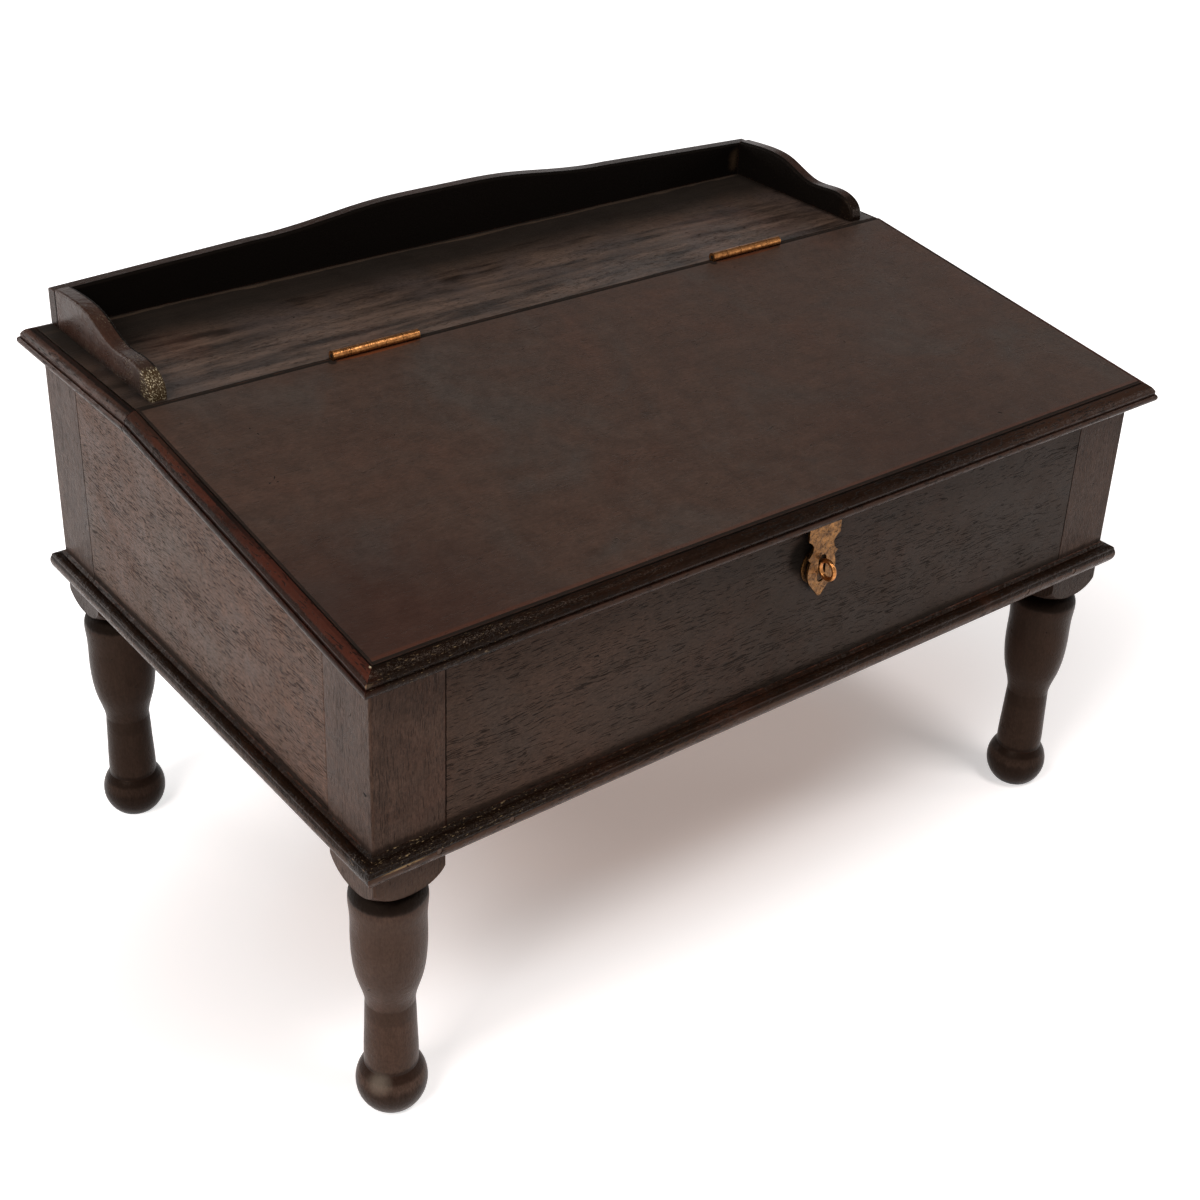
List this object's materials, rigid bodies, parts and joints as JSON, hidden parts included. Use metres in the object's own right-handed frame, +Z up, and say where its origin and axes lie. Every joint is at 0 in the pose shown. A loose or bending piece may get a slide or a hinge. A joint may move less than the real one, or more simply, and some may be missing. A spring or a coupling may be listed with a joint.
{
  "type": "lap desk with lift lid",
  "caption": "Slope-front writing box on turned legs, with a hinged lift lid, a galleried pen shelf behind it, and a brass hasp and staple on the front.",
  "frame": {"origin": "on the floor under the middle of the whole object's box", "axes": "X runs to the right along the front, Y to the back, Z up; the hasp faces -Y"},
  "size_m": [0.623, 0.4186, 0.4075],
  "materials": {
    "turned_posts": "dark stained hardwood, turned, satin varnish",
    "case_boards": "dark stained open-pored hardwood, satin varnish",
    "bottom_board": "dark stained wood, unvarnished",
    "base_moulding": "dark stained hardwood, glossy varnish",
    "pegs": "end-grain hardwood plugs, dark stained",
    "shelf_board": "dark stained hardwood, satin varnish",
    "edge_moulding": "dark stained hardwood, worn satin varnish",
    "gallery": "dark stained hardwood, glossy varnish",
    "lid_board": "dark stained open-pored hardwood, worn satin varnish",
    "brass": "aged sheet brass",
    "pin_steel": "dull oxidised steel wire",
    "screw_brass": "aged brass, countersunk head"
  },
  "bodies": {
    "case": {"post_front_left": "turned_posts", "post_front_right": "turned_posts", "post_rear_left": "turned_posts", "post_rear_right": "turned_posts", "front_board": "case_boards", "back_board": "case_boards", "side_board_left": "case_boards", "side_board_right": "case_boards", "bottom_board": "bottom_board", "base_moulding_front": "base_moulding", "base_moulding_back": "base_moulding", "base_moulding_left": "base_moulding", "base_moulding_right": "base_moulding", "moulding_pegs": "pegs", "shelf_board": "shelf_board", "shelf_edge_left": "edge_moulding", "shelf_edge_right": "edge_moulding", "shelf_edge_rear": "edge_moulding", "gallery_back": "gallery", "gallery_left": "gallery", "gallery_right": "gallery", "hinge_left_shelf_leaf": "brass", "hinge_right_shelf_leaf": "brass", "staple_plate": "brass", "staple_eye": "brass", "hinge_pins": "pin_steel", "hinge_screws_shelf": "screw_brass"},
    "lid": {"lid_board": "lid_board", "lid_edge_front": "edge_moulding", "lid_edge_left": "edge_moulding", "lid_edge_right": "edge_moulding", "hinge_left_lid_leaf": "brass", "hinge_right_lid_leaf": "brass", "hasp_leaf": "brass", "hinge_screws_lid": "screw_brass", "hasp_pin": "pin_steel", "hasp_screws": "screw_brass"},
    "hasp": {"hasp_strap": "brass"}
  },
  "joints": [
    {"name": "lid_hinge", "type": "hinge", "parent": "case", "child": "lid", "pos_m": [0, 0.05733, 0.3709], "axis": [-1, 0, 0], "range_deg": [0, 145]},
    {"name": "hasp_swing", "type": "hinge", "parent": "lid", "child": "hasp", "pos_m": [0.0138, -0.19659, 0.31842], "axis": [-1, 0, 0], "range_deg": [0, 86]}
  ]
}
